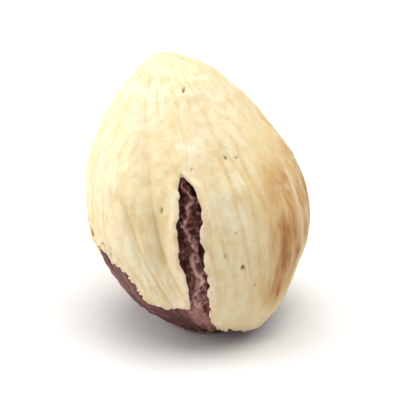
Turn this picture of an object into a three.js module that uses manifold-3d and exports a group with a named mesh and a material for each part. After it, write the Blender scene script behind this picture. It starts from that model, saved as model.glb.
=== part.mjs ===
import * as THREE from 'three';
import { mergeVertices } from 'three/addons/utils/BufferGeometryUtils.js';
import Module from 'manifold-3d';

// A blanched hazelnut kernel that stands tip up on a small flat spot at its blunt base.
// Millimetres, +Z up. The origin is the middle of the flat spot. The side with the open fold faces -Y.
// Places on the kernel are given by two angles in degrees: the polar angle, 0 at the middle of the base
// and 180 at the tip, and the azimuth round the kernel's own axis, 0 at +X and 270 at the fold's side.

// The kernel's overall form
const halfWidth = 6.36;
const halfThickness = 6.2;
const halfLength = 8.45;
const widestLevel = -0.4; // from -1 at the base to 1 at the tip
const tipTaper = 0.33; // share of its girth that the kernel loses towards the tip
const tipTaperPower = 2.04;
const baseSwelling = 0.02; // share of its girth that it gains towards the base
const beakHeight = 0.4; // the small point at the tip
const beakSpread = 0.26;
const tipOffset = -0.85; // the tip sits to the -X side of the axis
const baseFlattening = 0.32;
const leanBack = 10; // degrees, the tip goes towards +Y
const leanSideways = 9; // degrees, the tip goes towards -X
const restDepth = 0.44; // how much of the base the flat spot takes off

// Soft ridges and valleys that run lengthwise and meet at the tip
const ridges = [
  { azimuth: 228, spread: 15, height: 0.12 },
  { azimuth: 251, spread: 6, height: -0.16 },
  { azimuth: 291, spread: 8, height: -0.12 },
  { azimuth: 316, spread: 12, height: 0.12 },
  { azimuth: 349, spread: 8, height: -0.2 },
  { azimuth: 12, spread: 12, height: 0.2 },
  { azimuth: 45, spread: 8, height: -0.24 },
  { azimuth: 69, spread: 11, height: 0.2 },
  { azimuth: 96, spread: 6, height: -0.26 },
  { azimuth: 115, spread: 9, height: 0.16 },
  { azimuth: 146, spread: 9, height: -0.22 },
  { azimuth: 171, spread: 12, height: 0.2 },
  { azimuth: 197, spread: 8, height: -0.12 },
];
const ridgeFading = { power: 1.2, least: 0.35, from: 35, to: 110 }; // ridges are weaker low down

// Broad swellings and dents that make the kernel uneven
const swellings = [
  { polar: 152, azimuth: 350, spread: 24, height: 0.34 }, // shoulder beside the tip
  { polar: 33, azimuth: 318, spread: 20, height: 0.42 }, // the lobe that reaches lowest
  { polar: 38, azimuth: 236, spread: 16, height: -0.3 }, // the shorter lobe beside it
  { polar: 78, azimuth: 192, spread: 18, height: 0.26 },
  { polar: 105, azimuth: 60, spread: 26, height: 0.22 },
  { polar: 120, azimuth: 128, spread: 18, height: -0.2 },
  { polar: 62, azimuth: 105, spread: 22, height: 0.2 },
];
const lumpHeight = 0.1; // slow, uneven swelling of the whole surface
const lumpTwist = 2.2;
const lumpStart = 0.6;
const fleshSegments = { around: 66, along: 38 };

// The open fold in the front: polar angle, azimuth and half of its width in millimetres along its length
const foldLine = new THREE.CatmullRomCurve3([
  new THREE.Vector3(114, 271, 0.08),
  new THREE.Vector3(107, 272.5, 0.38),
  new THREE.Vector3(99.5, 272, 0.64),
  new THREE.Vector3(89, 269.5, 0.7),
  new THREE.Vector3(77, 266.5, 0.72),
  new THREE.Vector3(67, 266.5, 0.6),
  new THREE.Vector3(57, 264.5, 0.62),
  new THREE.Vector3(45, 262.5, 0.57),
  new THREE.Vector3(32, 262, 0.64),
  new THREE.Vector3(24, 262, 0.72),
]);
const foldSegments = { around: 12, along: 36 };
const foldDepth = 1.55;
const foldEndDepth = 0.5; // at the fold's pointed upper end
const foldEndShare = 0.3; // share of the fold's length over which it deepens
const foldLeastWidth = 0.06;
const foldLeastRing = 0.3;
const lipHeight = 0.16; // the flesh rises towards the fold's edges
const lipReach = 1.5;
const lipFading = { past: 14, from: 30, to: 60 }; // degrees: over the upper end, and towards the base
const cutAbove = 0.8; // how far the cutting shapes stand out of the flesh
const floorBlock = { side: 20, height: 4 }; // cuts the flat spot

// The seed skin: a strip in the fold, and a ragged ring round the flat spot
const skinThickness = 0.3;
const skinClearance = 0.3;
const skinDepth = 0.1; // how far the skin's outer face lies under the flesh round it
const stripDepth = 0.45; // the strip lies deeper in the fold than the ring on the base
const stripSpan = { from: 0.09, to: 0.95 }; // shares of the fold's length
const stripRise = { from: 0.62, to: 0.8 }; // where the strip rises to the ring, as shares of that length
const stripUnderRing = 0.05;
const ringInnerReach = 25; // degrees from the middle of the flat spot
const ringSegments = { around: 80, across: 5 };
const ringRim = [
  // azimuth and polar angle of the outer edge
  [0, 33],
  [34, 38],
  [66, 47],
  [95, 42],
  [128, 50],
  [160, 62],
  [174, 76],
  [183, 87],
  [190, 84],
  [197, 81],
  [205, 79],
  [212, 79],
  [218, 78],
  [223, 75],
  [226, 60],
  [230, 54],
  [237, 51],
  [245, 52],
  [251, 54],
  [260, 57],
  [266, 48],
  [270, 37],
  [276, 31],
  [284, 29],
  [310, 30],
  [335, 30],
  [360, 33],
];

const ringTeeth = [
  // how many go round, and how far they reach in degrees
  [17, 1.5],
  [29, 1.1],
  [38, 0.7],
];

const { clamp, lerp, smoothstep, euclideanModulo } = THREE.MathUtils;
const degree = Math.PI / 180;
const lean = new THREE.Matrix4().makeRotationFromEuler(
  new THREE.Euler(-leanBack * degree, -leanSideways * degree, 0, 'YXZ'),
);

function wrapAngle(angle) {
  return euclideanModulo(angle + 180, 360) - 180;
}

function bell(distance, spread) {
  return Math.exp(-((distance / spread) ** 2));
}

// Angle between two directions from the kernel's middle, in degrees
function angleBetween(polar, azimuth, place) {
  const level = Math.cos(polar * degree) * Math.cos(place.polar * degree);
  const ring = Math.sin(polar * degree) * Math.sin(place.polar * degree);
  const cosine = level + ring * Math.cos((azimuth - place.azimuth) * degree);
  return Math.acos(clamp(cosine, -1, 1)) / degree;
}

// The smooth drop, before relief and lean
function smoothPoint(polar, azimuth) {
  const level = -Math.cos(polar * degree);
  const ring = Math.sin(polar * degree);
  const low = Math.max(0, -level);
  const climb = Math.max(0, (level - widestLevel) / (1 - widestLevel));
  const girth = ring * (1 - tipTaper * climb ** tipTaperPower) * (1 + baseSwelling * low ** 2);
  const beak = level > 0 ? beakHeight * bell(ring, beakSpread) : 0;
  return new THREE.Vector3(
    halfWidth * girth * Math.cos(azimuth * degree) + tipOffset * climb,
    halfThickness * girth * Math.sin(azimuth * degree),
    halfLength * level + beak + baseFlattening * low ** 6,
  );
}

function smoothNormal(polar, azimuth) {
  const step = 0.05;
  const here = clamp(polar, 0.5, 179.5);
  const turn = here === polar ? azimuth : 0; // one normal for all that meets at a pole
  const along = smoothPoint(here + step, turn).sub(smoothPoint(here - step, turn));
  const around = smoothPoint(here, turn + step).sub(smoothPoint(here, turn - step));
  return around.cross(along).normalize();
}

// The fold's azimuth and half width at a polar angle
const foldSamples = foldLine.getPoints(200);

function foldAt(polar) {
  return foldSamples.reduce((best, sample) => {
    return Math.abs(sample.x - polar) < Math.abs(best.x - polar) ? sample : best;
  });
}

// Height of the ridges, swellings, lumps and lips over the smooth drop
function relief(polar, azimuth) {
  const ring = Math.sin(polar * degree);
  const upper = smoothstep(polar, ridgeFading.from, ridgeFading.to);
  let height = 0;
  for (const ridge of ridges) {
    height += ridge.height * bell(wrapAngle(azimuth - ridge.azimuth), ridge.spread);
  }
  height *= ring ** ridgeFading.power * lerp(ridgeFading.least, 1, upper);
  for (const place of swellings) {
    height += place.height * bell(angleBetween(polar, azimuth, place), place.spread);
  }
  const turn = azimuth * degree;
  const rise = polar * degree;
  const lumps = Math.sin(2 * turn + 3 * rise + lumpStart) * Math.cos(turn - lumpTwist * rise);
  height += lumpHeight * ring * lumps;
  const fold = foldAt(polar);
  const aside = wrapAngle(azimuth - fold.y) * degree * ring * halfWidth;
  const past = Math.max(0, polar - foldSamples[0].x);
  const lip = bell(aside, lipReach) * bell(past, lipFading.past);
  return height + lipHeight * lip * smoothstep(polar, lipFading.from, lipFading.to);
}

const restCentre = lowestPoint();

function lowestPoint() {
  let lowest = new THREE.Vector3(0, 0, Infinity);
  for (let polar = 0; polar <= 40; polar += 0.5) {
    for (let azimuth = 0; azimuth < 360; azimuth += 2) {
      const point = smoothPoint(polar, azimuth).applyMatrix4(lean);
      if (point.z < lowest.z) {
        lowest = point;
        lowest.polar = polar;
        lowest.azimuth = azimuth;
      }
    }
  }
  return lowest;
}

// A point at a depth under the kernel's surface, leaned and set over the origin
function kernelPoint(polar, azimuth, depth = 0) {
  const normal = smoothNormal(polar, azimuth);
  const point = smoothPoint(polar, azimuth).addScaledVector(normal, relief(polar, azimuth) - depth);
  point.applyMatrix4(lean).sub(restCentre);
  point.z -= restDepth;
  return point;
}

// Moves every vertex of a geometry to the place that a formula gives
function reshape(geometry, place) {
  const positions = geometry.attributes.position;
  const vertex = new THREE.Vector3();
  for (let i = 0; i < positions.count; i++) {
    vertex.fromBufferAttribute(positions, i);
    const moved = place(vertex);
    positions.setXYZ(i, moved.x, moved.y, moved.z);
  }
  return geometry;
}

// The flesh before anything is cut from it
function fleshGeometry() {
  const sphere = new THREE.SphereGeometry(1, fleshSegments.around, fleshSegments.along);
  return reshape(sphere, (v) => {
    const polar = Math.acos(clamp(-v.y, -1, 1)) / degree;
    const azimuth = Math.atan2(v.z, -v.x) / degree;
    return kernelPoint(polar, -azimuth);
  });
}

function foldDepthAt(along) {
  return lerp(foldEndDepth, foldDepth, smoothstep(along, 0, foldEndShare));
}

// A rod laid along the fold, between the depths that two formulas give for its outer and inner side
function foldGeometry(span, narrower, outerDepth, innerDepth) {
  const rod = new THREE.CylinderGeometry(1, 1, 1, foldSegments.around, foldSegments.along);
  return reshape(rod, (v) => {
    const along = lerp(span.from, span.to, 0.5 - v.y);
    const spot = foldLine.getPoint(along);
    const width = Math.max(foldLeastWidth, spot.z - narrower);
    const radius = halfWidth * Math.max(foldLeastRing, Math.sin(spot.x * degree));
    const aside = (v.z * width) / radius / degree;
    const depth = lerp(outerDepth(along), innerDepth(along), (v.x + 1) / 2);
    return kernelPoint(spot.x, spot.y + aside, depth);
  });
}

// Polar angle of the ring's inner edge, a circle round the flat spot
function innerEdge(azimuth) {
  const turn = (azimuth - restCentre.azimuth) * degree;
  const across = restCentre.polar * Math.sin(turn);
  return restCentre.polar * Math.cos(turn) + Math.sqrt(ringInnerReach ** 2 - across ** 2);
}

// Polar angle of the ring's ragged outer edge
function outerEdge(azimuth) {
  const next = ringRim.findIndex((entry) => entry[0] > azimuth);
  const [fromAzimuth, fromPolar] = ringRim[next - 1];
  const [toAzimuth, toPolar] = ringRim[next];
  let polar = lerp(fromPolar, toPolar, (azimuth - fromAzimuth) / (toAzimuth - fromAzimuth));
  for (const [count, reach] of ringTeeth) {
    polar += reach * Math.sin(count * azimuth * degree + count);
  }
  return polar;
}

// A ring under the surface: a turned band whose width is spread between the two edges
function ringGeometry(margin, outerDepth, innerDepth) {
  const profile = [];
  const step = 1 / ringSegments.across;
  for (let i = 0; i <= ringSegments.across; i++) {
    profile.push(new THREE.Vector2(1 + i * step, 1));
  }
  for (let i = ringSegments.across; i >= 0; i--) {
    profile.push(new THREE.Vector2(1 + i * step, 0));
  }
  profile.push(profile[0].clone());
  const band = new THREE.LatheGeometry(profile, ringSegments.around);
  return reshape(band, (v) => {
    const azimuth = euclideanModulo(Math.atan2(v.z, v.x) / degree, 360);
    const across = Math.hypot(v.x, v.z) - 1;
    const polar = lerp(innerEdge(azimuth) - margin, outerEdge(azimuth) + margin, across);
    return kernelPoint(polar, azimuth, lerp(innerDepth, outerDepth, v.y));
  });
}

// Cutting and joining closed meshes
const wasm = await Module();
wasm.setup();

function toSolid(geometry) {
  geometry.deleteAttribute('normal');
  geometry.deleteAttribute('uv');
  const merged = mergeVertices(geometry);
  const vertProperties = merged.attributes.position.array;
  const triVerts = new Uint32Array(merged.index.array);
  const solid = new wasm.Manifold(new wasm.Mesh({ numProp: 3, vertProperties, triVerts }));
  if (solid.volume() > 0) {
    return solid;
  }
  triVerts.reverse(); // the faces pointed in
  return new wasm.Manifold(new wasm.Mesh({ numProp: 3, vertProperties, triVerts }));
}

function toMesh(name, solid, look) {
  const { vertProperties, triVerts } = solid.getMesh();
  const geometry = new THREE.BufferGeometry();
  geometry.setAttribute('position', new THREE.BufferAttribute(vertProperties, 3));
  geometry.setIndex(new THREE.BufferAttribute(triVerts, 1));
  geometry.computeVertexNormals();
  const mesh = new THREE.Mesh(geometry, new THREE.MeshStandardMaterial(look));
  mesh.name = name;
  return mesh;
}

// The flesh, with the fold and the skin's bed cut in it and its base cut flat
function kernelSolid() {
  const fold = foldGeometry({ from: 0, to: 1 }, 0, () => -cutAbove, foldDepthAt);
  const bedMargin = skinClearance / halfWidth / degree;
  const bed = ringGeometry(bedMargin, -cutAbove, skinDepth + skinThickness + skinClearance);
  const below = new THREE.BoxGeometry(floorBlock.side, floorBlock.side, floorBlock.height);
  below.translate(0, 0, -floorBlock.height / 2);
  return toSolid(fleshGeometry()).subtract(toSolid(fold)).subtract(toSolid(bed)).subtract(toSolid(below));
}

// The skin: the strip rises to the ring's level where it passes under the ring, and joins it
function skinSolid() {
  const innerDepth = (along) => foldDepthAt(along) - skinClearance;
  const outerDepth = (along) => {
    const inFold = Math.min(stripDepth, innerDepth(along) - skinThickness);
    return lerp(inFold, skinDepth + stripUnderRing, smoothstep(along, stripRise.from, stripRise.to));
  };
  const strip = foldGeometry(stripSpan, skinClearance, outerDepth, innerDepth);
  const ring = ringGeometry(0, skinDepth, skinDepth + skinThickness);
  return toSolid(strip).add(toSolid(ring));
}

const hazelnut = new THREE.Group();
hazelnut.add(toMesh('kernel', kernelSolid(), { color: 0xecd3a0, roughness: 0.55, metalness: 0 }));
hazelnut.add(toMesh('seed_skin', skinSolid(), { color: 0x6b2a26, roughness: 0.7, metalness: 0 }));

export default hazelnut;
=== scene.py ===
import math

import bmesh
import bpy
import numpy as np
from mathutils import Matrix, Vector, noise


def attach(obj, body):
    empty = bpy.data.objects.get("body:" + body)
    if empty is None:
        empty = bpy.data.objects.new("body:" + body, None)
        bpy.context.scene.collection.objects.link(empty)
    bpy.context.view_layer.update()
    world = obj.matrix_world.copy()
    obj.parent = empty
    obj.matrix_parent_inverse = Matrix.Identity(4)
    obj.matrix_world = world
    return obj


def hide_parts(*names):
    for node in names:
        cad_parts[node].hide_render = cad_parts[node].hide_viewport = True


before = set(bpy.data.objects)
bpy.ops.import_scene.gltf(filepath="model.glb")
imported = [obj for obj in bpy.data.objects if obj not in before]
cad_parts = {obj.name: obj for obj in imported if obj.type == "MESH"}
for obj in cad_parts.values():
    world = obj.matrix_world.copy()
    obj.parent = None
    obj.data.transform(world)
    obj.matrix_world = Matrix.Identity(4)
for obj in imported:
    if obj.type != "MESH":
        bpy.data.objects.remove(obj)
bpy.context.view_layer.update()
mm = 0.001
degree = math.pi / 180
print("frame loaded:", ", ".join(sorted(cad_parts)))

# Places on the kernel are two angles in degrees: polar, 0 at the middle of the base and 180 at the
# tip, and azimuth round the kernel's own axis, 0 at +X and 270 at the side with the open fold.
# Sizes are in mm. A pace is how fine a noise is, and a shift picks the part of it that is used.

# the overall drop, as the solid has it
kernelForm = {
    "halfWidth": 6.36,
    "halfThickness": 6.2,
    "halfLength": 8.45,
    "widestLevel": -0.4,  # from -1 at the base to 1 at the tip
    "tipTaper": 0.33,
    "tipTaperPower": 2.04,
    "baseSwelling": 0.02,
    "beakHeight": 0.4,
    "beakSpread": 0.26,
    "tipOffset": -0.85,
    "baseFlattening": 0.32,
    "leanBack": 10,
    "leanSideways": 9,
    "restDepth": 0.44,
    "lumpHeight": 0.1,
    "lumpTwist": 2.2,
    "lumpStart": 0.6,
    # azimuth, spread, height
    "ridges": [
        (228, 15, 0.12), (251, 6, -0.16), (291, 8, -0.12), (316, 12, 0.12), (349, 8, -0.2),
        (12, 12, 0.2), (45, 8, -0.24), (69, 11, 0.2), (96, 6, -0.26), (115, 9, 0.16),
        (146, 9, -0.22), (171, 12, 0.2), (197, 8, -0.12),
    ],
    "ridgePower": 1.2,
    "ridgeLeast": 0.35,  # ridges are weaker low down
    "ridgeRise": (35, 110),
    # polar, azimuth, spread, height
    "swellings": [
        (152, 350, 24, 0.34), (33, 318, 20, 0.42), (38, 236, 16, -0.3), (78, 192, 18, 0.26),
        (105, 60, 26, 0.22), (120, 128, 18, -0.2), (62, 105, 22, 0.2),
    ],
}

# the open fold
foldForm = {
    # polar, azimuth, half width
    "line": [
        (24, 262, 0.72), (32, 262, 0.64), (45, 262.5, 0.58), (57, 264.4, 0.64), (67, 266.5, 0.6),
        (77, 266.5, 0.72), (89, 269.5, 0.7), (99.5, 272, 0.66), (106, 272.5, 0.5), (113, 271.5, 0.0),
    ],
    "bendSoftness": 8,
    "widthSoftness": 5,
    "ends": (24, 114),
    "fineSpan": (30, 116),  # where its faces are made finer
    "depth": 1.45,
    "deepensOver": (26, 46),
    "deepWidth": 0.5,
    # share of the way from the middle to the roll's end, how far aside, how deep
    "section": [
        (0, 0, 1), (0.36, 0.86, 0.96), (0.46, 0.97, 0.85), (0.76, 1.0, 0.15), (0.88, 1.04, 0.03),
        (1, 1.04, 0),
    ],
    "roll": 0.24,
    "rollShare": 1.4,
    # the edges are nibbled: how much, from what half width on, and pace and share of each step
    "nibble": 0.12,
    "nibbleWidths": (0.1, 0.5),
    "nibbleSteps": [(0.1, 1.0), (0.31, 0.7), (0.8, 0.35)],
    "nibbleShifts": (3.7, 41.2),
    # the flesh rises towards the fold, and past its upper end
    "lipHeight": 0.16,
    "lipReach": 1.5,
    "lipPast": 14,
    "lipRise": (30, 60),
    # a narrow uneven roll runs along the edges
    "edgeHeight": 0.13,
    "edgeReach": 0.34,
    "edgeGap": 0.1,
    "edgeWidths": (0.05, 0.4),
    "edgeRise": (40, 60),
    "edgeUneven": 0.8,
    "edgeSteps": [(0.07, 1.0), (0.2, 0.6), (0.55, 0.2)],
    "edgeShifts": (93.4, 77.1),
    "valley": {"aside": -1.75, "spread": 0.75, "polar": 84, "length": 24, "depth": 0.25},
}

# the bed that the seed skin lies in
bedForm = {
    # azimuth and polar angle of its rim
    "rim": [
        (0, 33), (34, 38), (66, 47), (95, 42), (128, 50), (160, 62), (174, 76), (183, 87), (190, 84),
        (197, 82), (205, 81), (212, 81), (218, 80), (223, 77), (226, 60), (230, 54), (237, 51.5),
        (245, 52), (251, 54), (260, 57), (266, 48), (270, 37), (276, 31), (284, 29), (310, 30),
        (335, 30), (360, 33),
    ],
    "rimSoftness": 3,
    "ragged": [(0.5, 0.4), (1.3, 0.68), (3.1, 0.44)],  # pace, reach
    "raggedShift": 11,
    "innerReach": 25,  # degrees from the middle of the rest spot
    "innerRagged": 0.3,
    "meanRadius": 7,  # turns degrees into mm
    "depth": 0.34,
    "step": 0.13,
    "lipHeight": 0.1,
    "lipAway": 0.14,
    "lipSpread": 0.15,
}
noiseGain = 1.5  # brings noise to about -1 to 1


def bell(distance, spread):
    return np.exp(-((distance / spread) ** 2))


def wrapAngle(angle):
    return (angle + 180) % 360 - 180


def smoothStep(value, low, high):
    t = np.clip((value - low) / (high - low), 0, 1)
    return t * t * (3 - 2 * t)


def softTable(points, column, high, softness):
    # a listed curve, sampled each half degree and rounded at its corners
    angles = np.arange(0, high + 0.5, 0.5)
    values = np.interp(angles, [p[0] for p in points], [p[column] for p in points])
    window = np.hanning(2 * softness + 1)
    padded = np.pad(values, softness, mode="edge")
    return angles, np.convolve(padded, window / window.sum(), mode="valid")


def unevenLine(angles, shift, steps):
    # uneven from about -1 to 1 along a row of angles, coarse and fine
    def at(angle):
        return sum(share * noise.noise((angle * pace + shift, shift, 0.5)) for pace, share in steps)
    return np.array([at(angle) for angle in angles]) * noiseGain


def smoothPoint(polar, azimuth):
    form = kernelForm
    level = -np.cos(polar * degree)
    ring = np.sin(polar * degree)
    low = np.maximum(0, -level)
    climb = np.maximum(0, (level - form["widestLevel"]) / (1 - form["widestLevel"]))
    girth = ring * (1 - form["tipTaper"] * climb ** form["tipTaperPower"])
    girth = girth * (1 + form["baseSwelling"] * low ** 2)
    beak = np.where(level > 0, form["beakHeight"] * bell(ring, form["beakSpread"]), 0)
    x = form["halfWidth"] * girth * np.cos(azimuth * degree) + form["tipOffset"] * climb
    y = form["halfThickness"] * girth * np.sin(azimuth * degree)
    z = form["halfLength"] * level + beak + form["baseFlattening"] * low ** 6
    return np.stack([x, y, z], axis=-1)


def smoothNormal(polar, azimuth):
    step = 0.05
    here = np.clip(polar, 0.5, 179.5)
    turn = np.where(here == polar, azimuth, 0)  # one normal for all that meets at a pole
    along = smoothPoint(here + step, turn) - smoothPoint(here - step, turn)
    around = smoothPoint(here, turn + step) - smoothPoint(here, turn - step)
    normal = np.cross(around, along)
    return normal / np.linalg.norm(normal, axis=-1, keepdims=True)


def leaned(points):
    back = kernelForm["leanBack"] * degree
    side = kernelForm["leanSideways"] * degree
    x, y, z = points[..., 0], points[..., 1], points[..., 2]
    y, z = y * math.cos(back) + z * math.sin(back), z * math.cos(back) - y * math.sin(back)
    x, z = x * math.cos(side) - z * math.sin(side), x * math.sin(side) + z * math.cos(side)
    return np.stack([x, y, z], axis=-1)


def lowestPlace():
    polar, azimuth = np.meshgrid(np.arange(0, 40.5, 0.5), np.arange(0, 360, 2), indexing="ij")
    points = leaned(smoothPoint(polar, azimuth))
    lowest = np.unravel_index(points[..., 2].argmin(), polar.shape)
    return points[lowest], polar[lowest], azimuth[lowest]


def foldLines(steps, shifts):
    # one uneven line for the left side of the fold and one for the right
    return [unevenLine(foldAngles, shift, steps) for shift in shifts]


restPoint, restPolar, restAzimuth = lowestPlace()
foldAngles, foldAzimuths = softTable(foldForm["line"], 1, 180, foldForm["bendSoftness"])
foldAngles, foldWidths = softTable(foldForm["line"], 2, 180, foldForm["widthSoftness"])
rimAngles, rimPolars = softTable(bedForm["rim"], 1, 360, bedForm["rimSoftness"])
nibbles = foldLines(foldForm["nibbleSteps"], foldForm["nibbleShifts"])
edgeLines = foldLines(foldForm["edgeSteps"], foldForm["edgeShifts"])


def angleBetween(polar, azimuth, otherPolar, otherAzimuth):
    level = np.cos(polar * degree) * math.cos(otherPolar * degree)
    ring = np.sin(polar * degree) * math.sin(otherPolar * degree)
    cosine = level + ring * np.cos((azimuth - otherAzimuth) * degree)
    return np.arccos(np.clip(cosine, -1, 1)) / degree


def roundFrom(polar, azimuth, centre):
    # distance round the kernel from an azimuth, in mm and signed
    return wrapAngle(azimuth - centre) * degree * np.sin(polar * degree) * kernelForm["halfWidth"]


def broadRelief(polar, azimuth):
    # ridges, swellings and slow lumps, the same as in the solid
    form = kernelForm
    ring = np.sin(polar * degree)
    height = np.zeros_like(polar)
    for ridgeAzimuth, spread, rise in form["ridges"]:
        height += rise * bell(wrapAngle(azimuth - ridgeAzimuth), spread)
    least = form["ridgeLeast"]
    height *= ring ** form["ridgePower"] * (least + (1 - least) * smoothStep(polar, *form["ridgeRise"]))
    for placePolar, placeAzimuth, spread, rise in form["swellings"]:
        height += rise * bell(angleBetween(polar, azimuth, placePolar, placeAzimuth), spread)
    turn = azimuth * degree
    climb = polar * degree
    lumps = np.sin(2 * turn + 3 * climb + form["lumpStart"]) * np.cos(turn - form["lumpTwist"] * climb)
    return height + form["lumpHeight"] * ring * lumps


def onSide(polar, aside, lines):
    # the value of the left line or the right one of a pair along the fold
    left, right = (np.interp(polar, foldAngles, line) for line in lines)
    return np.where(aside > 0, right, left)


def foldOffset(polar, azimuth):
    # distance from the middle of the fold, in mm and signed, and the fold's half width there
    form = foldForm
    lowEnd, highEnd = form["ends"]
    width = np.interp(polar, foldAngles, foldWidths)
    width = np.where((polar > highEnd) | (polar < lowEnd), 0, width)
    aside = roundFrom(polar, azimuth, np.interp(polar, foldAngles, foldAzimuths))
    bitten = onSide(polar, aside, nibbles) * smoothStep(width, *form["nibbleWidths"])
    return aside, width + form["nibble"] * bitten


def foldDepthAt(polar, width):
    form = foldForm
    deepens = smoothStep(polar, *form["deepensOver"])
    return form["depth"] * smoothStep(width, 0, form["deepWidth"]) * deepens


def noiseAt(points, pace, shift=0.0):
    return np.array([noise.noise(Vector(p)) for p in points * pace + shift])


def bedDistance(polar, azimuth):
    # how far inside the ragged rim a place is, in mm, and how far inside the bare rest spot
    form = bedForm
    rim = np.interp(azimuth % 360, rimAngles, rimPolars)
    turn = (azimuth - restAzimuth) * degree
    across = restPolar * np.sin(turn)
    inner = restPolar * np.cos(turn) + np.sqrt(form["innerReach"] ** 2 - across ** 2)
    arc = degree * form["meanRadius"]
    base = smoothPoint(polar, azimuth)
    shift = form["raggedShift"]
    coast = sum(reach * noiseAt(base, pace, shift * pace) for pace, reach in form["ragged"])
    scar = (inner - polar) * arc + form["innerRagged"] * coast
    return np.minimum((rim - polar) * arc + coast, -scar), scar


def anglesOf(directions):
    polar = np.arccos(np.clip(-directions[:, 2], -1, 1)) / degree
    azimuth = np.arctan2(directions[:, 1], directions[:, 0]) / degree % 360
    return polar, azimuth


def strokesAt(polar, azimuth, count, shortness, shift):
    # noise drawn out along the kernel's length
    turn = azimuth * degree
    places = np.stack([count * np.cos(turn), count * np.sin(turn), polar * degree * shortness], axis=-1)
    return noiseAt(places, 1.0, shift)


def setOnFloor(points):
    points = leaned(points) - restPoint
    points[:, 2] -= kernelForm["restDepth"]
    points[:, 2] = np.maximum(points[:, 2], 0)  # the flat spot
    return points * mm


def cornersOf(bm):
    bm.verts.index_update()
    return np.array([v.co for v in bm.verts])


def refine(bm, wanted):
    # halves the faces where wanted holds, and puts the new corners back on the ball
    polar, azimuth = anglesOf(cornersOf(bm))
    chosen = wanted(polar, azimuth)
    edges = [e for e in bm.edges if chosen[e.verts[0].index] and chosen[e.verts[1].index]]
    bmesh.ops.subdivide_edges(bm, edges=edges, cuts=1, use_grid_fill=True)
    bmesh.ops.triangulate(bm, faces=[f for f in bm.faces if len(f.verts) > 3])
    for v in bm.verts:
        v.co.normalize()


def writeMask(mesh, name, values):
    attribute = mesh.attributes.new(name, "FLOAT", "POINT")
    attribute.data.foreach_set("value", np.asarray(values, dtype=np.float32))


def finishPiece(name, bm, points, material):
    for v, point in zip(bm.verts, points):
        v.co = point
    bmesh.ops.recalc_face_normals(bm, faces=bm.faces)
    mesh = bpy.data.meshes.new(name)
    bm.to_mesh(mesh)
    for face in mesh.polygons:
        face.use_smooth = True
    mesh.materials.append(material)
    piece = bpy.data.objects.new(name, mesh)
    bpy.context.scene.collection.objects.link(piece)
    return piece


# Materials

def makeGroup(name, inputs, output):
    group = bpy.data.node_groups.new(name, "ShaderNodeTree")
    for socketName, kind, value in inputs:
        socket = group.interface.new_socket(name=socketName, in_out="INPUT", socket_type=kind)
        socket.default_value = value
    group.interface.new_socket(name=output, in_out="OUTPUT", socket_type="NodeSocketFloat")
    enter = group.nodes.new("NodeGroupInput")
    leave = group.nodes.new("NodeGroupOutput")
    return group, enter.outputs, leave.inputs[output]


def addNode(tree, kind, values=None, **settings):
    node = tree.nodes.new(kind)
    for key, value in settings.items():
        setattr(node, key, value)
    for key, value in (values or {}).items():
        if isinstance(value, bpy.types.NodeSocket):
            tree.links.new(value, node.inputs[key])
        else:
            node.inputs[key].default_value = value
    return node


def addMath(tree, operation, first, second):
    return addNode(tree, "ShaderNodeMath", {0: first, 1: second}, operation=operation).outputs[0]


def addMix(tree, factor, first, second):
    node = addNode(tree, "ShaderNodeMix", {0: factor, 6: first, 7: second}, data_type="RGBA")
    return node.outputs[2]


def addRange(tree, value, low, high):
    # turns 0 to 1 into low to high
    return addNode(tree, "ShaderNodeMapRange", {0: value, 3: low, 4: high}).outputs[0]


def addStep(tree, value, low, high):
    # a soft step from 0 at low to 1 at high
    values = {0: value, 1: low, 2: high}
    return addNode(tree, "ShaderNodeMapRange", values, interpolation_type="SMOOTHSTEP").outputs[0]


def addNoise(tree, vector, scale, detail, roughness=0.5):
    values = {"Vector": vector, "Scale": scale, "Detail": detail, "Roughness": roughness}
    return addNode(tree, "ShaderNodeTexNoise", values).outputs[0]


def addAttribute(tree, name):
    return addNode(tree, "ShaderNodeAttribute", attribute_name=name).outputs["Fac"]


def makePatchGroup():
    # soft-edged patches of noise, from 0 to 1
    inputs = [
        ("Vector", "NodeSocketVector", (0, 0, 0)),
        ("Scale", "NodeSocketFloat", 300.0),
        ("Detail", "NodeSocketFloat", 4.0),
        ("Low", "NodeSocketFloat", 0.4),
        ("High", "NodeSocketFloat", 0.6),
    ]
    group, enter, leave = makeGroup("softPatches", inputs, "Mask")
    spots = addNoise(group, enter["Vector"], enter["Scale"], enter["Detail"])
    group.links.new(addStep(group, spots, enter["Low"], enter["High"]), leave)
    return group


grainForm = {
    "detail": 6.0,
    "roughness": 0.6,
    "poreReach": 0.25,
}


def makeGrainGroup():
    # fine uneven grain with small pores, as a height
    inputs = [
        ("Vector", "NodeSocketVector", (0, 0, 0)),
        ("Scale", "NodeSocketFloat", 3000.0),
        ("Pores", "NodeSocketFloat", 0.5),
    ]
    group, enter, leave = makeGroup("dryGrain", inputs, "Height")
    vector = enter["Vector"]
    grain = addNoise(group, vector, enter["Scale"], grainForm["detail"], grainForm["roughness"])
    cells = addNode(group, "ShaderNodeTexVoronoi", {"Vector": vector, "Scale": enter["Scale"]})
    fromCell = {0: cells.outputs["Distance"], 1: 0.0, 2: grainForm["poreReach"], 3: -1.0, 4: 0.0}
    pore = addNode(group, "ShaderNodeMapRange", fromCell).outputs[0]
    sunk = addMath(group, "MULTIPLY", pore, enter["Pores"])
    group.links.new(addMath(group, "ADD", grain, sunk), leave)
    return group


patchGroup = makePatchGroup()
grainGroup = makeGrainGroup()


def addPatches(tree, vector, scale, low, high, detail):
    values = {"Vector": vector, "Scale": scale, "Low": low, "High": high, "Detail": detail}
    return addNode(tree, "ShaderNodeGroup", node_tree=patchGroup, values=values).outputs["Mask"]


def addGrain(tree, vector, scale, pores):
    values = {"Vector": vector, "Scale": scale, "Pores": pores}
    return addNode(tree, "ShaderNodeGroup", node_tree=grainGroup, values=values).outputs["Height"]


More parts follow.
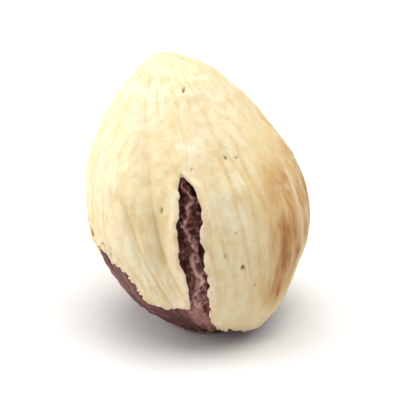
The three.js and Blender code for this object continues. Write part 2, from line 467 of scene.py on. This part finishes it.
def addStretched(tree, place, stretch):
    # the pattern that reads it is drawn out lengthwise
    return addNode(tree, "ShaderNodeMapping", {"Vector": place, "Scale": (1, 1, stretch)}).outputs[0]


def addBump(tree, form, height, **normal):
    strength, distance = form
    values = {"Strength": strength, "Distance": distance, "Height": height, **normal}
    return addNode(tree, "ShaderNodeBump", values).outputs[0]


def startMaterial(name):
    material = bpy.data.materials.new(name)
    material.use_nodes = True
    tree = material.node_tree
    surface = tree.nodes["Principled BSDF"]
    place = addNode(tree, "ShaderNodeTexCoord").outputs["Object"]
    return material, tree, surface, place


fleshLook = {
    "ivory": (0.78, 0.72, 0.525, 1),
    "cream": (0.75, 0.65, 0.405, 1),
    "golden": (0.63, 0.38, 0.105, 1),
    "toastAndShadeBrown": (0.33, 0.12, 0.025, 1),
    "stainAndShade": (0.075, 0.017, 0.013, 1),
    "scar": (0.15, 0.06, 0.04, 1),
    "scarPale": (0.4, 0.235, 0.14, 1),
    "pitBrown": (0.20, 0.085, 0.035, 1),
    "powderAndHighlight": (0.82, 0.76, 0.61, 1),
    "blush": (0.72, 0.46, 0.3, 1),
    # how far the patches of a kind are drawn out along the kernel
    "stretch": {"streaky": 0.3, "stringy": 0.12},
    # patches: kind, scale, low, high, detail
    "ground": ("round", 190, 0.36, 0.66, 4.0),
    "chipsAndGlints": ("round", 1100, 0.42, 0.62, 4.0),
    "blotches": ("streaky", 520, 0.3, 0.7, 6.0),
    "strands": ("stringy", 1500, 0.3, 0.7, 4.0),
    "scarMottles": ("round", 1400, 0.38, 0.68, 8.0),
    "dullness": ("round", 700, 0.3, 0.7, 4.0),
    # colour, its share, its patches
    "mottles": [
        ("cream", 0.8, ("streaky", 900, 0.4, 0.66, 4.0)),
        ("golden", 0.24, ("round", 1500, 0.4, 0.68, 3.0)),
        ("golden", 0.24, ("stringy", 1700, 0.48, 0.7, 4.0)),
    ],
    "flecks": [
        ("powderAndHighlight", 0.22, ("stringy", 2300, 0.55, 0.75, 2.0)),
        ("toastAndShadeBrown", 0.45, ("round", 1300, 0.73, 0.79, 3.0)),
    ],
    # colour, its share, the mask it follows; the hollow mark is painted shade in the seam, the dips of
    # the fine relief and the valley beside the fold
    "marks": [("golden", 0.42, "vein"), ("golden", 0.4, "hollowShade"), ("blush", 0.5, "blush")],
    "lipPowderAndHighlight": 0.6,
    "blotchShare": (0.45, 1.15),
    "strandShare": (0.7, 1.1),
    "toastAndShadePower": 2.2,
    "stainShadeNoise": (3500.0, 4.0),  # scale, detail
    "stainShadeUneven": 0.5,
    "stainShadeEdge": (0.6, 0.74),
    "roughness": (0.42, 0.6),
    "grain": (3800, 0.4),  # scale, pores
    "grainBump": (0.35, 0.00008),  # strength, distance
    "dimpleNoise": (1500.0, 4.0),
    "dimpleBump": (0.6, 0.00014),
    "subsurface": 0.2,
    "subsurfaceRadius": (1.0, 0.55, 0.25),
    "subsurfaceScale": 0.0005,
    "specular": 0.34,
}


def makeFleshMaterial():
    look = fleshLook
    material, tree, surface, place = startMaterial("hazelnutFlesh")
    spaces = {"round": place}
    for kind, stretch in look["stretch"].items():
        spaces[kind] = addStretched(tree, place, stretch)

    def patchesOf(patches):
        kind, *form = patches
        return addPatches(tree, spaces[kind], *form)

    def lay(colour, name, share, mask):
        return addMix(tree, addMath(tree, "MULTIPLY", mask, share), colour, look[name])

    colour = addMix(tree, patchesOf(look["ground"]), look["ivory"], look["cream"])
    for name, share, patches in look["mottles"]:
        colour = lay(colour, name, share, patchesOf(patches))
    for name, share, mask in look["marks"]:
        colour = lay(colour, name, share, addAttribute(tree, mask))
    # paler chipped flesh on the lips and the rim's edge, partly a painted highlight on these raised
    # edges
    chipsAndGlints = addMath(tree, "MULTIPLY", addAttribute(tree, "lip"), patchesOf(look["chipsAndGlints"]))
    colour = lay(colour, "powderAndHighlight", look["lipPowderAndHighlight"], chipsAndGlints)

    blotch = addRange(tree, patchesOf(look["blotches"]), *look["blotchShare"])
    strand = addRange(tree, patchesOf(look["strands"]), *look["strandShare"])
    # roasting colour, and on the right side and lower right also painted shade and warm reflected
    # colour
    toastAndShade = addMath(tree, "MULTIPLY", addAttribute(tree, "toastAndShade"), blotch)
    toastAndShade = addMath(tree, "MULTIPLY", toastAndShade, strand)
    toastAndShade.node.use_clamp = True
    colour = addMix(tree, toastAndShade, colour, look["golden"])
    colour = addMix(tree, addMath(tree, "POWER", toastAndShade, look["toastAndShadePower"]), colour, look["toastAndShadeBrown"])
    for name, share, patches in look["flecks"]:
        colour = lay(colour, name, share, patchesOf(patches))

    # pits are browned by skin left in them and by painted shade that grows with their depth
    colour = addMix(tree, addAttribute(tree, "pit"), colour, look["pitBrown"])
    scarColour = addMix(tree, patchesOf(look["scarMottles"]), look["scar"], look["scarPale"])
    colour = addMix(tree, addAttribute(tree, "scar"), colour, scarColour)
    # painted shade mixed with stain: the fold's walls take the skin's dark colour and darken more as
    # the fold deepens, and a painted crevice shadow runs along the skin's rim
    uneven = addMath(tree, "MULTIPLY", addNoise(tree, place, *look["stainShadeNoise"]), look["stainShadeUneven"])
    edge = addMath(tree, "ADD", addAttribute(tree, "stainAndShade"), uneven)
    colour = addMix(tree, addStep(tree, edge, *look["stainShadeEdge"]), colour, look["stainAndShade"])
    tree.links.new(colour, surface.inputs["Base Color"])

    rough = addRange(tree, patchesOf(look["dullness"]), *look["roughness"])
    tree.links.new(rough, surface.inputs["Roughness"])
    fine = addBump(tree, look["grainBump"], addGrain(tree, place, *look["grain"]))
    dimples = addNoise(tree, spaces["streaky"], *look["dimpleNoise"])
    tree.links.new(addBump(tree, look["dimpleBump"], dimples, Normal=fine), surface.inputs["Normal"])
    surface.inputs["Subsurface Weight"].default_value = look["subsurface"]
    surface.inputs["Subsurface Radius"].default_value = look["subsurfaceRadius"]
    surface.inputs["Subsurface Scale"].default_value = look["subsurfaceScale"]
    surface.inputs["Specular IOR Level"].default_value = look["specular"]
    return material


skinLook = {
    "paintedShade": (0.05, 0.013, 0.012, 1),
    "dark": (0.15, 0.035, 0.03, 1),
    "red": (0.37, 0.125, 0.105, 1),
    "mauve": (0.3, 0.115, 0.1, 1),
    "pink": (0.74, 0.48, 0.42, 1),
    "stretch": 0.35,
    # patches: scale, low, high, detail
    "ground": (900, 0.35, 0.65, 4.0),
    "wearAndHighlight": (1700, 0.4, 0.7, 5.0),
    "paintedShadeShare": 0.75,
    "mauveShare": 0.4,
    "pinkShare": (0.35, 1.0),
    "roughness": (0.5, 0.75),
    "grain": (5200, 0.3),  # scale, pores
    "grainBump": (0.5, 0.00005),  # strength, distance
    "specular": 0.35,
}


def makeSkinMaterial():
    look = skinLook
    material, tree, surface, place = startMaterial("seedSkin")
    streaks = addStretched(tree, place, look["stretch"])
    wearAndHighlight = addPatches(tree, streaks, *look["wearAndHighlight"])
    colour = addMix(tree, addPatches(tree, streaks, *look["ground"]), look["dark"], look["red"])
    # painted shade: the base ring, which lies by the floor and is also a darker skin, and the fold's
    # flanks by its walls
    shade = addMath(tree, "MULTIPLY", addAttribute(tree, "shade"), look["paintedShadeShare"])
    colour = addMix(tree, shade, colour, look["paintedShade"])
    fibre = addMath(tree, "MULTIPLY", addAttribute(tree, "fibre"), look["mauveShare"])
    colour = addMix(tree, fibre, colour, look["mauve"])
    # pale pink on the crests: partly worn pale fibres, partly a painted highlight on the raised pleats
    # and creases and painted light at the foot and low end of the fold
    pinkShare = addRange(tree, wearAndHighlight, *look["pinkShare"])
    crest = addMath(tree, "MULTIPLY", addAttribute(tree, "crest"), pinkShare)
    colour = addMix(tree, crest, colour, look["pink"])
    tree.links.new(colour, surface.inputs["Base Color"])
    tree.links.new(addRange(tree, wearAndHighlight, *look["roughness"]), surface.inputs["Roughness"])
    bump = addBump(tree, look["grainBump"], addGrain(tree, streaks, *look["grain"]))
    tree.links.new(bump, surface.inputs["Normal"])
    surface.inputs["Specular IOR Level"].default_value = look["specular"]
    return material


# Kernel

kernelDetail = {
    "ballSteps": 7,
    # where its faces are halved: mm round the fold and the rim, and share of a pit's radius
    "foldMargins": (0.45, 0.12),
    "rimMargin": 0.3,
    "pitMargin": 1.8,
    "dimples": [(0.35, 0.1, 0.0), (0.9, 0.05, 3.1), (2.2, 0.022, 6.2)],  # pace, height, shift
    # wrinkles and veins are stronger in patches: pace, shift, least, low, high
    "patchiness": (0.22, 9.0, 0.35, -0.25, 0.35),
    # count, shortness, height, shift
    "wrinkles": [(4, 1.2, 0.09, 0), (9, 1.8, 0.07, 5), (18, 2.6, 0.035, 10), (34, 4.0, 0.014, 15)],
    "wrinkleFading": 0.7,
    # count, shortness, width, depth, shift
    "veins": [(5, 1.1, 0.08, 0.065, 31), (12, 2.4, 0.1, 0.035, 38)],
    "veinFading": 0.5,
    "seam": {
        "azimuth": 96,
        "sways": [(3, 3.2), (1.2, 9)],  # degrees, pace
        "halfWidth": 0.16,
        "depth": 0.11,
        "begins": (48, 70),
        "fades": (145, 172),
    },
    # polar, azimuth, radius, depth, how drawn out, turned by, darkness
    "pits": [
        (147.5, 295.5, 0.19, 0.12, 1.9, 55, 0.8), (114.5, 302.5, 0.14, 0.1, 1.3, 0, 0.75),
        (113.5, 309.5, 0.09, 0.06, 4.6, 84, 0.5), (113.5, 278.5, 0.12, 0.08, 1.5, 30, 0.55),
        (99.5, 256.5, 0.13, 0.1, 1.5, 20, 0.6), (70.5, 293.5, 0.19, 0.13, 1.5, 70, 0.85),
        (77.5, 284.5, 0.12, 0.06, 1.8, 10, 0.35), (86, 293, 0.11, 0.06, 1.6, 60, 0.4),
        (101, 7, 0.26, 0.18, 1.7, 15, 0.9), (96.5, 2, 0.2, 0.15, 1.4, 40, 0.9),
        (128, 318, 0.1, 0.05, 2.5, 75, 0.3), (66, 240, 0.1, 0.05, 2.0, 20, 0.3),
        (60, 300, 0.12, 0.07, 1.7, 50, 0.4),
    ],
    # scattered over the sides that don't face the camera: level from -1 at the base to 1 at the
    # tip, azimuth, then as above
    "morePits": 30,
    "morePitRanges": [
        (-0.8, 0.75), (-50, 225), (0.05, 0.15), (0.03, 0.1), (1, 3.2), (0, 180), (0.2, 0.8),
    ],
    "seed": 7,
    "pitLength": 0.87,  # share of the half length that a radian of polar angle covers
    "pitSpread": 0.62,
    "pitRagged": (0.9, 4.0, 17.0),  # how much, pace, shift
    "pitRim": (0.15, 1.25, 0.4),  # height, distance, spread
    "pitDark": (0.1, 0.9),
    # polar, azimuth, spread along, spread round, strength; the places from azimuth 312 round to 2, on
    # the right side and lower right, are made browner also as painted shade and warm reflected colour
    "toastAndShade": [
        (86, 2, 25, 36, 1.3), (87, 350, 14, 18, 1.2), (64, 318, 19, 17, 0.7), (74, 328, 22, 15, 0.85),
        (178, 0, 7, 360, 0.2), (96, 96, 60, 9, 0.45), (70, 60, 24, 26, 0.5), (118, 150, 22, 20, 0.4),
        (50, 130, 16, 40, 0.45), (88, 205, 26, 12, 0.25), (126, 24, 20, 12, 0.35),
        (54, 312, 12, 20, 0.25),
    ],
    # raised places are toasted more: least, extra, share of the fine relief, low, high
    "toastRelief": (0.75, 0.5, 0.8, -0.15, 0.3),
    "quietDepths": (0.05, 0.4),  # fine relief fades as the fold deepens
    "hollowShadeGain": 4,
    "hollowShadeFrom": 0.02,
    "valleyShare": 0.7,
    "blushSpread": 0.3,
    "blushWidths": (0.05, 0.4),
    "rimBlush": (0.8, 0.35),  # share, spread
    "scarEdge": (-0.3, -0.12),
    "stainShadeDepths": (0.02, 0.42),
    "stainShadeEdge": (-0.08, 0.14),
}


def allPits():
    draw = np.random.default_rng(kernelDetail["seed"])
    pits = list(kernelDetail["pits"])
    for _ in range(kernelDetail["morePits"]):
        level, *rest = [draw.uniform(low, high) for low, high in kernelDetail["morePitRanges"]]
        pits.append((math.degrees(math.acos(level)), *rest))
    return pits


def pitDistance(polar, azimuth, pit):
    # distance from a pit's middle as a share of its radius, in the pit's own drawn-out shape
    pitPolar, pitAzimuth, radius, _, drawnOut, turned, _ = pit
    x = roundFrom(polar, azimuth, pitAzimuth)
    y = (polar - pitPolar) * degree * kernelForm["halfLength"] * kernelDetail["pitLength"]
    turn = turned * degree
    along = (y * math.cos(turn) + x * math.sin(turn)) / drawnOut ** 0.5
    across = (x * math.cos(turn) - y * math.sin(turn)) * drawnOut ** 0.5
    return np.hypot(along, across) / radius


def nearFold(margin):
    def wanted(polar, azimuth):
        aside, width = foldOffset(polar, azimuth)
        low, high = foldForm["fineSpan"]
        return (polar > low) & (polar < high) & (np.abs(aside) < width + margin)
    return wanted


def nearPits(polar, azimuth):
    chosen = np.zeros(len(polar), bool)
    for pit in allPits():
        chosen |= pitDistance(polar, azimuth, pit) < kernelDetail["pitMargin"]
    return chosen


def nearRim(polar, azimuth):
    return np.abs(bedDistance(polar, azimuth)[0]) < kernelDetail["rimMargin"]


def openFold(polar, azimuth):
    # moves what lies over the fold aside and down, to make its rolled lips, walls and floor
    form = foldForm
    least = 0.0001
    aside, width = foldOffset(polar, azimuth)
    reach = width + np.minimum(form["roll"], width * form["rollShare"])
    t = np.where(reach > least, np.abs(aside) / np.maximum(reach, least), 2)
    inside = t < 1
    shares, asides, depths = zip(*form["section"])
    bend, spread = shares[-2], asides[-2]
    onRoll = spread * width + (reach - spread * width) * (t - bend) / (1 - bend)
    newAside = np.where(t < bend, np.interp(t, shares, asides) * width, onRoll)
    radius = np.maximum(0.2, np.sin(polar * degree)) * kernelForm["halfWidth"]
    centre = np.interp(polar, foldAngles, foldAzimuths)
    opened = centre + np.sign(aside) * newAside / radius / degree
    sunk = np.interp(t, shares, depths) * foldDepthAt(polar, width)
    return np.where(inside, opened, azimuth), np.where(inside, sunk, 0)


def lipRelief(polar, aside, width):
    # height of the lips, and a mask of the narrow roll along the fold's edges
    form = foldForm
    past = np.maximum(0, polar - form["ends"][1])
    lip = bell(aside, form["lipReach"]) * bell(past, form["lipPast"])
    lip *= smoothStep(polar, *form["lipRise"])
    edge = bell(np.maximum(0, np.abs(aside) - width - form["edgeGap"]), form["edgeReach"])
    edge *= smoothStep(width, *form["edgeWidths"]) * smoothStep(polar, *form["edgeRise"])
    edge *= 1 + form["edgeUneven"] * onSide(polar, aside, edgeLines)
    return form["lipHeight"] * lip + form["edgeHeight"] * edge, edge


def fineRelief(polar, azimuth, base):
    # height of the dimples, wrinkles and veins, and a mask of the veins
    detail = kernelDetail
    ring = np.sin(polar * degree)
    height = np.zeros_like(polar)
    for pace, rise, shift in detail["dimples"]:
        height += rise * noiseAt(base, pace, shift)
    pace, shift, least, low, high = detail["patchiness"]
    patchy = least + (1 - least) * smoothStep(noiseAt(base, pace, shift), low, high)
    for count, shortness, rise, shift in detail["wrinkles"]:
        strokes = strokesAt(polar, azimuth, count, shortness, shift)
        height += rise * patchy * ring ** detail["wrinkleFading"] * strokes
    vein = np.zeros_like(polar)
    deepest = max(form[3] for form in detail["veins"])
    for count, shortness, spread, depth, shift in detail["veins"]:
        lines = bell(strokesAt(polar, azimuth, count, shortness, shift), spread)
        lines *= patchy * ring ** detail["veinFading"]
        height -= depth * lines
        vein = np.maximum(vein, lines * depth / deepest)
    return height, vein


def seamAt(polar, azimuth):
    seam = kernelDetail["seam"]
    sway = sum(swing * np.sin(polar * degree * pace) for swing, pace in seam["sways"])
    line = bell(roundFrom(polar, azimuth, seam["azimuth"] + sway), seam["halfWidth"])
    return line * smoothStep(polar, *seam["begins"]) * (1 - smoothStep(polar, *seam["fades"]))


def pitRelief(polar, azimuth, base):
    # height of the pits with their low rims, and a mask of how dark they are
    detail = kernelDetail
    raggedness, pace, shift = detail["pitRagged"]
    rimHeight, rimAway, rimSpread = detail["pitRim"]
    ragged = 1 + raggedness * noiseAt(base, pace, shift)
    height = np.zeros_like(polar)
    dark = np.zeros_like(polar)
    for pit in allPits():
        depth, darkness = pit[3], pit[6]
        distance = pitDistance(polar, azimuth, pit) * ragged
        hole = bell(distance, detail["pitSpread"])
        height += depth * (rimHeight * bell(distance - rimAway, rimSpread) - hole)
        dark = np.maximum(dark, smoothStep(hole, *detail["pitDark"]) * darkness)
    return height, dark


def toastAndShadeAt(polar, azimuth, broad, fine):
    detail = kernelDetail
    toastAndShade = np.zeros_like(polar)
    for placePolar, placeAzimuth, along, around, strength in detail["toastAndShade"]:
        turned = wrapAngle(azimuth - placeAzimuth)
        toastAndShade += strength * bell(polar - placePolar, along) * bell(turned, around)
    least, extra, fineShare, low, high = detail["toastRelief"]
    return toastAndShade * (least + extra * smoothStep(broad + fineShare * fine, low, high))


def buildKernel(material):
    detail = kernelDetail
    bm = bmesh.new()
    bmesh.ops.create_icosphere(bm, subdivisions=detail["ballSteps"], radius=1)
    for margin in detail["foldMargins"]:
        refine(bm, nearFold(margin))
    refine(bm, lambda polar, azimuth: nearPits(polar, azimuth) | nearRim(polar, azimuth))
    polar, azimuth = anglesOf(cornersOf(bm))
    base = smoothPoint(polar, azimuth)
    aside, width = foldOffset(polar, azimuth)
    newAzimuth, foldDepth = openFold(polar, azimuth)

    broad = broadRelief(polar, azimuth)
    lips, edge = lipRelief(polar, aside, width)
    valley = foldForm["valley"]
    beside = bell(aside - valley["aside"], valley["spread"])
    beside *= bell(polar - valley["polar"], valley["length"])
    fine, vein = fineRelief(polar, azimuth, base)
    seam = seamAt(polar, azimuth)
    pits, pitDark = pitRelief(polar, azimuth, base)
    fine += pits - detail["seam"]["depth"] * seam
    bed, scar = bedDistance(polar, azimuth)
    bedSunk = bedForm["depth"] * smoothStep(bed, 0, bedForm["step"])
    rimLip = bell(bed + bedForm["lipAway"], bedForm["lipSpread"])
    quiet = 1 - smoothStep(foldDepth, *detail["quietDepths"])
    height = broad + lips - valley["depth"] * beside
    height += (fine + bedForm["lipHeight"] * rimLip) * quiet - np.maximum(foldDepth, bedSunk)
    points = smoothPoint(polar, newAzimuth) + smoothNormal(polar, newAzimuth) * height[:, None]

    # painted shade in the dips of the fine relief
    sunken = detail["hollowShadeGain"] * np.maximum(0, -fine - detail["hollowShadeFrom"])
    foldEdge = bell(np.maximum(0, np.abs(aside) - width), detail["blushSpread"])
    foldEdge *= smoothStep(width, *detail["blushWidths"])
    rimShare, rimSpread = detail["rimBlush"]
    inFold = smoothStep(foldDepth, *detail["stainShadeDepths"])
    masks = {
        "toastAndShade": np.clip(toastAndShadeAt(polar, azimuth, broad, fine), 0, 1),
        "pit": pitDark,
        "hollowShade": np.clip(seam + sunken + detail["valleyShare"] * beside, 0, 1),
        "vein": vein,
        "lip": np.clip(edge + rimLip, 0, 1),
        "blush": np.maximum(foldEdge, rimShare * bell(np.minimum(0, bed), rimSpread)),
        "scar": smoothStep(scar, *detail["scarEdge"]),
        # painted shade with the skin's stain, deeper into the fold and along the rim's crevice
        "stainAndShade": np.maximum(inFold, smoothStep(bed, *detail["stainShadeEdge"])),
    }
    piece = finishPiece("kernel_flesh", bm, setOnFloor(points), material)
    for name, values in masks.items():
        writeMask(piece.data, name, values)
    bm.free()
    print("kernel:", len(piece.data.polygons), "faces")
    return piece


# Seed skin

skinDetail = {
    "thickness": 0.1,
    "highest": 120,
    "span": (34, 113),  # of the strip in the fold
    "spanWidth": 1.05,  # share of the fold's half width
    "leastWidth": 0.05,
    "edgeGap": 0.05,
    "fineMargin": 0.1,
    "inFoldDepths": (0.3, 1.0),
    "inFoldSides": (0.9, 1.15),
    "onBaseEdge": (-0.1, 0.3),
    "onBaseShare": 0.85,
    "fibres": [(14, 1.6, 2, 1.0), (30, 3.0, 6, 0.5)],  # count, shortness, shift, share
    "crumple": (1.6, 4.0),  # pace, shift
    "tiny": (4.5, 8.0),
    # on the base: depth, then heights of the fibres, crumples and tiny creases
    "ringDepth": 0.12,
    "ringHeights": (0.1, 0.07, 0.03),
    "curl": (0.07, 0.12, 0.4, 0.9, 6.0),  # height, spread, least, pace, shift
    # in the fold
    "depth": 0.66,
    "lowDepth": 0.4,
    "lowFrom": (60, 76),
    "waveSide": 0.34,
    "wander": (0.16, 2.5),  # pace along the fold, shift
    "pleatWaves": (0.65, 0.55, 5, 2.2),  # share, pace, how wander bends it, share of wander
    "pleat": (0.28, 0.85, 0.9, 0.8, 12.0),  # spread, least, extra, pace, shift
    "counterWaves": (1.3, 0.23, 2, 1.8),  # share, pace, start, share of the crumples
    "counterPleat": (0.26, 0.75, 0.9, 0.9, 24.0),
    # heights of the pleat, the counter pleat, the crumples and the tiny creases
    "foldHeights": (0.6, 0.25, 0.3, 0.16),
    "topDepth": (0.14, 0.2),  # least, more by the crumples
    "floorGap": 0.15,
    # pale crests, partly paler worn fibres and partly a painted highlight and painted light, and flanks
    # darkened as painted shade
    "foot": (268, 12, 48, 14),  # azimuth and its spread, polar angle and its spread
    "ringCrest": (2.4, -0.1, 0.6),  # share of the height, start, share of the foot
    "lowCrest": (62, 86),
    "wearAndHighlight": (0.6, 0.45, 1.4, 17.0, -0.2, 0.25),  # share of the wave, spread, pace, shift, low, high
    # shares of the pleat, the worn and highlighted places, the counter pleat, the tiny creases and the
    # low end
    "foldCrest": (0.4, 0.75, 0.3, 0.9, 0.3),
    "shadedFlanks": (0.35, 0.75),
    "fibreTiny": 0.5,
    "fibreEdge": (-0.1, 0.5),
}


def largestIsland(bm):
    left = set(bm.verts)
    largest = set()
    while left:
        island = set()
        growing = [left.pop()]
        while growing:
            v = growing.pop()
            island.add(v)
            near = {e.other_vert(v) for e in v.link_edges} & left
            left -= near
            growing.extend(near)
        largest = max(largest, island, key=len)
    return largest


def dropCorners(bm, corners):
    bmesh.ops.delete(bm, geom=corners, context="VERTS")


def keepWhole(bm):
    # drops loose scraps, and corners where two flaps would only touch
    pinched = True
    while pinched:
        bare = [e for e in bm.edges if not e.link_faces]
        bmesh.ops.delete(bm, geom=bare, context="EDGES")
        dropCorners(bm, [v for v in bm.verts if not v.link_faces])
        pinched = [v for v in bm.verts if sum(e.is_boundary for e in v.link_edges) > 2]
        dropCorners(bm, pinched)
    island = largestIsland(bm)
    dropCorners(bm, [v for v in bm.verts if v not in island])


def inSkin(polar, azimuth, margin=0.0):
    detail = skinDetail
    aside, width = foldOffset(polar, azimuth)
    low, high = detail["span"]
    inFold = (polar > low) & (polar < high) & (np.abs(aside) < width * detail["spanWidth"] + margin)
    return inFold | (bedDistance(polar, azimuth)[0] > detail["edgeGap"] - margin)


def cutSkin():
    # the part of a ball that the skin covers
    detail = skinDetail
    bm = bmesh.new()
    bmesh.ops.create_icosphere(bm, subdivisions=kernelDetail["ballSteps"], radius=1)
    polar = anglesOf(cornersOf(bm))[0]
    dropCorners(bm, [v for v, angle in zip(bm.verts, polar) if angle > detail["highest"]])
    refine(bm, nearFold(detail["fineMargin"]))
    refine(bm, lambda polar, azimuth: inSkin(polar, azimuth, detail["fineMargin"]))
    kept = inSkin(*anglesOf(cornersOf(bm)))
    dropCorners(bm, [v for v, keep in zip(bm.verts, kept) if not keep])
    keepWhole(bm)
    return bm


def pleatAt(across, wave, base, form):
    spread, least, extra, pace, shift = form
    return bell(across - wave, spread) * (least + extra * noiseAt(base, pace, shift))


def buildSkin(material):
    detail = skinDetail
    bm = cutSkin()
    polar, azimuth = anglesOf(cornersOf(bm))
    base = smoothPoint(polar, azimuth)
    aside, width = foldOffset(polar, azimuth)
    across = aside / np.maximum(width, detail["leastWidth"])
    sides = np.abs(across)
    foldDepth = foldDepthAt(polar, width)
    inFold = smoothStep(foldDepth, *detail["inFoldDepths"])
    inFold *= 1 - smoothStep(sides, *detail["inFoldSides"])
    bed = bedDistance(polar, azimuth)[0]
    share = inFold * (1 - detail["onBaseShare"] * smoothStep(bed, *detail["onBaseEdge"]))

    fibres = sum(part * strokesAt(polar, azimuth, count, shortness, shift)
                 for count, shortness, shift, part in detail["fibres"])
    crumple = noiseAt(base, *detail["crumple"])
    tiny = noiseAt(base, *detail["tiny"])
    heights = zip(detail["ringHeights"], (fibres, crumple, tiny))
    ringRelief = sum(rise * creases for rise, creases in heights)
    rise, spread, least, pace, shift = detail["curl"]
    ringRelief += rise * bell(bed - detail["edgeGap"], spread) * (least + noiseAt(base, pace, shift))

    pace, shift = detail["wander"]
    steps = polar * pace
    wander = noiseAt(np.stack([steps, 0 * steps, 0 * steps], axis=-1), 1.0, shift)
    waves, pace, bend, wandering = detail["pleatWaves"]
    meander = detail["waveSide"] * (waves * np.sin(polar * pace + bend * wander) + wandering * wander)
    pleat = pleatAt(across, meander, base, detail["pleat"])
    waves, pace, start, crumpling = detail["counterWaves"]
    drift = detail["waveSide"] * (waves * np.sin(polar * pace + start) + crumpling * crumple)
    counter = pleatAt(across, drift, base, detail["counterPleat"])
    lowDown = 1 - smoothStep(polar, *detail["lowFrom"])
    foldHeight = -detail["depth"] + (detail["depth"] - detail["lowDepth"]) * lowDown
    for rise, creases in zip(detail["foldHeights"], (pleat, counter, crumple, tiny)):
        foldHeight += rise * creases
    topDepth, crumpled = detail["topDepth"]
    foldHeight = np.minimum(foldHeight, -topDepth - crumpled * np.abs(crumple))
    foldHeight = np.maximum(foldHeight, -foldDepth + detail["floorGap"])
    height = broadRelief(polar, azimuth)
    height += (ringRelief - detail["ringDepth"]) * (1 - share) + foldHeight * share
    points = smoothPoint(polar, azimuth) + smoothNormal(polar, azimuth) * height[:, None]

    # paler at the foot and the low end of the fold as painted light, and on raised creases and pleats
    # partly as a painted highlight
    footAzimuth, around, footPolar, along = detail["foot"]
    foot = bell(wrapAngle(azimuth - footAzimuth), around) * bell(polar - footPolar, along)
    raised, start, footed = detail["ringCrest"]
    ringCrest = raised * ringRelief + start + footed * foot
    low = 1 - smoothStep(polar, *detail["lowCrest"])
    swing, spread, pace, shift, least, most = detail["wearAndHighlight"]
    wearAndHighlight = bell(across - swing * meander, spread) * smoothStep(noiseAt(base, pace, shift), least, most)
    parts = zip(detail["foldCrest"], (pleat, wearAndHighlight, counter, tiny, low))
    foldCrest = sum(part * values for part, values in parts)
    fibre = smoothStep(fibres + detail["fibreTiny"] * tiny, *detail["fibreEdge"])
    # painted shade on the fold's flanks by its walls, less at its low end
    shadedFlanks = smoothStep(sides, *detail["shadedFlanks"]) * (1 - low)
    masks = {
        "crest": np.clip(ringCrest, 0, 1) * (1 - share) + np.clip(foldCrest, 0, 1) * share,
        "shade": (1 - share) * (1 - foot) + share * shadedFlanks,
        "fibre": fibre * (1 - share),
    }
    for name, values in masks.items():
        layer = bm.verts.layers.float.new(name)
        for v, value in zip(bm.verts, values):
            v[layer] = value
    for v, point in zip(bm.verts, setOnFloor(points)):
        v.co = point
    bmesh.ops.recalc_face_normals(bm, faces=bm.faces)
    bmesh.ops.solidify(bm, geom=list(bm.faces), thickness=detail["thickness"] * mm)
    piece = finishPiece("seed_skin_remnant", bm, [v.co.copy() for v in bm.verts], material)
    bm.free()
    print("seed skin:", len(piece.data.polygons), "faces")
    return piece


kernelPiece = buildKernel(makeFleshMaterial())
skinPiece = buildSkin(makeSkinMaterial())
pieces = [(kernelPiece, "kernel", "kernel_flesh"), (skinPiece, "seed_skin", "seed_skin")]
for piece, node, slot in pieces:
    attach(piece, "root")
    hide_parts(node)
print("pieces placed")


# Floor, light and camera

studio = {
    "floorSize": 2.0,
    "floorDrop": 0.00001,
    "floorColour": (0.78, 0.78, 0.78, 1),
    "floorRoughness": 0.7,
    "worldStrength": 0.35,
    # name, place, size, power
    "lights": [
        ("topLight", (-0.03, 0.02, 0.26), 0.22, 0.62),
        ("leftLight", (-0.25, 0.04, 0.1), 0.24, 0.59),
        ("rightLight", (0.14, 0.0, 0.24), 0.2, 0.38),
    ],
    "lightColour": (1, 0.99, 0.97),
    "cameraElevation": 30,
    "cameraDistance": 0.15,
    "clipStart": 0.01,
    "lens": 232,
    "aim": (-0.0002, 0.0, 0.0076),
}


def makeFloor():
    bm = bmesh.new()
    bmesh.ops.create_grid(bm, x_segments=1, y_segments=1, size=studio["floorSize"] / 2)
    mesh = bpy.data.meshes.new("floor")
    bm.to_mesh(mesh)
    bm.free()
    mesh.transform(Matrix.Translation((0, 0, -studio["floorDrop"])))
    material = bpy.data.materials.new("paleFloor")
    material.use_nodes = True
    surface = material.node_tree.nodes["Principled BSDF"]
    surface.inputs["Base Color"].default_value = studio["floorColour"]
    surface.inputs["Roughness"].default_value = studio["floorRoughness"]
    mesh.materials.append(material)
    floor = bpy.data.objects.new("floor", mesh)
    bpy.context.scene.collection.objects.link(floor)


def addLight(name, place, size, power):
    lamp = bpy.data.lights.new(name, "AREA")
    lamp.size = size
    lamp.energy = power
    lamp.color = studio["lightColour"]
    light = bpy.data.objects.new(name, lamp)
    light.location = place
    aim = Vector(studio["aim"]) - Vector(place)
    light.rotation_euler = aim.to_track_quat("-Z", "Y").to_euler()
    bpy.context.scene.collection.objects.link(light)


def makeStudio():
    makeFloor()
    world = bpy.data.worlds.new("studioWorld")
    world.use_nodes = True
    backdrop = world.node_tree.nodes["Background"]
    backdrop.inputs["Color"].default_value = (1, 1, 1, 1)
    backdrop.inputs["Strength"].default_value = studio["worldStrength"]
    scene = bpy.context.scene
    scene.world = world
    scene.view_settings.view_transform = "Standard"
    for name, place, size, power in studio["lights"]:
        addLight(name, place, size, power)
    camera = bpy.data.objects.new("camera", bpy.data.cameras.new("camera"))
    camera.data.lens = studio["lens"]
    camera.data.clip_start = studio["clipStart"]
    elevation = studio["cameraElevation"] * degree
    away = Vector((0, -math.cos(elevation), math.sin(elevation)))
    camera.location = Vector(studio["aim"]) + away * studio["cameraDistance"]
    camera.rotation_euler = (-away).to_track_quat("-Z", "Y").to_euler()
    scene.collection.objects.link(camera)
    scene.camera = camera


makeStudio()
print("studio ready")
